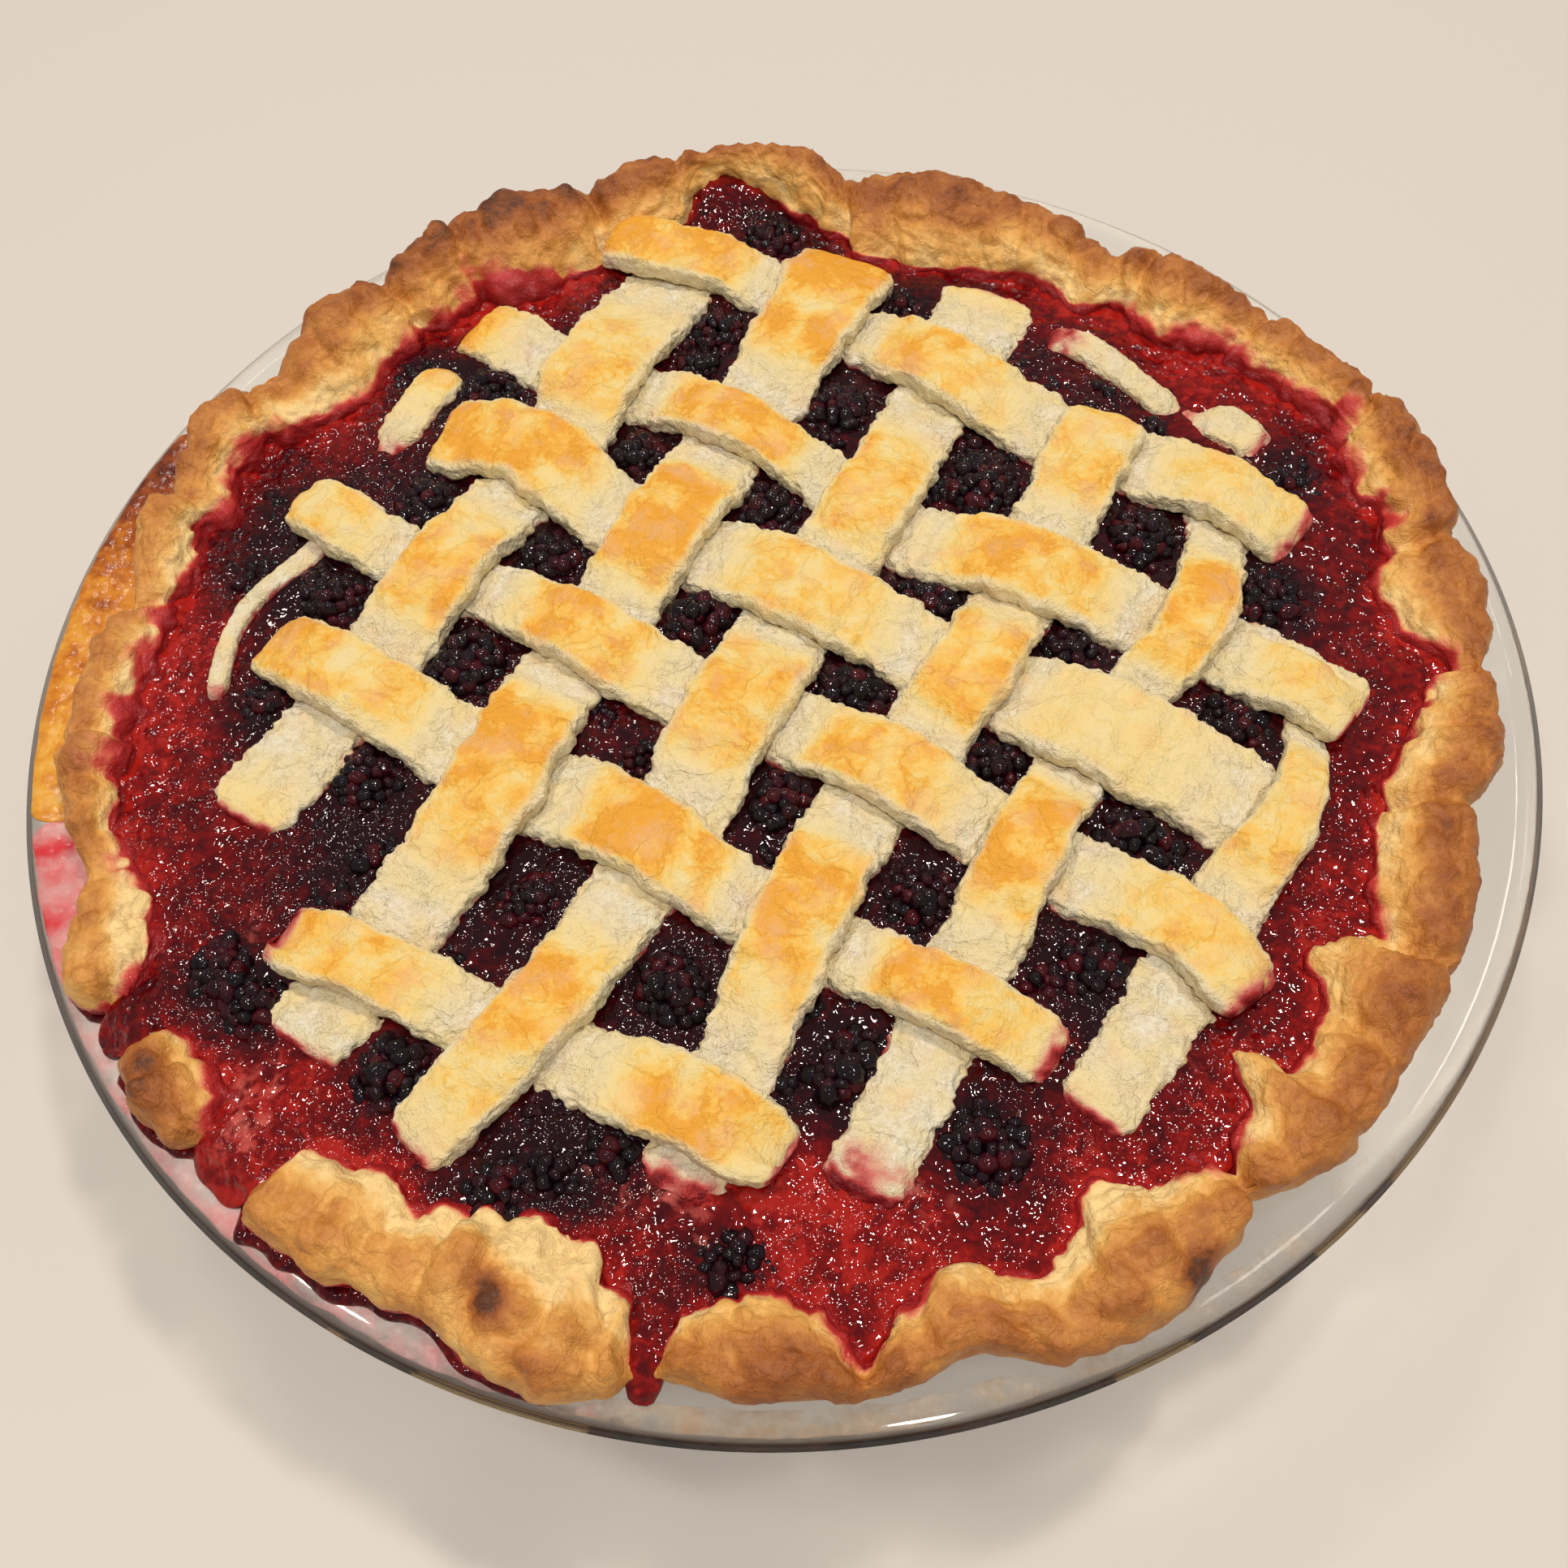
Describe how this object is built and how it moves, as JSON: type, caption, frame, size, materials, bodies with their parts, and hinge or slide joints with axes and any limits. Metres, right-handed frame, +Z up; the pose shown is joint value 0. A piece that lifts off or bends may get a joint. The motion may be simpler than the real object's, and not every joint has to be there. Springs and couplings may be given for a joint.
{
  "type": "bramble pie",
  "caption": "Round pie with a woven dough lattice over glossy dark berries and juice, a hand-crimped browned crust, and its own clear glass pie dish.",
  "frame": {"origin": "centre of the dish's flat underside, on the table", "axes": "+Z up; the side nearest the viewer is at -Y and +X is to the viewer's right"},
  "size_m": [0.248, 0.248, 0.0525],
  "materials": {
    "clear_glass": "clear and glossy, stained by baked-on juice",
    "browned_crust": "flaky baked dough with an egg-washed sheen",
    "lattice_dough": "pale baked dough with golden egg-washed patches",
    "berry_juice": "wet, dark and glossy set juice"
  },
  "bodies": {
    "root": {"glass_dish": "clear_glass", "pie_crust": "browned_crust", "berry_filling": "berry_juice", "falling_strip_0": "lattice_dough", "falling_strip_1": "lattice_dough", "falling_strip_2": "lattice_dough", "falling_strip_3": "lattice_dough", "falling_strip_4": "lattice_dough", "falling_strip_5": "lattice_dough", "falling_strip_6": "lattice_dough", "rising_strip_1": "lattice_dough", "rising_strip_2": "lattice_dough", "rising_strip_3": "lattice_dough", "rising_strip_4": "lattice_dough", "rising_strip_5": "lattice_dough", "rising_strip_6": "lattice_dough", "rising_strip_7": "lattice_dough"}
  },
  "joints": []
}
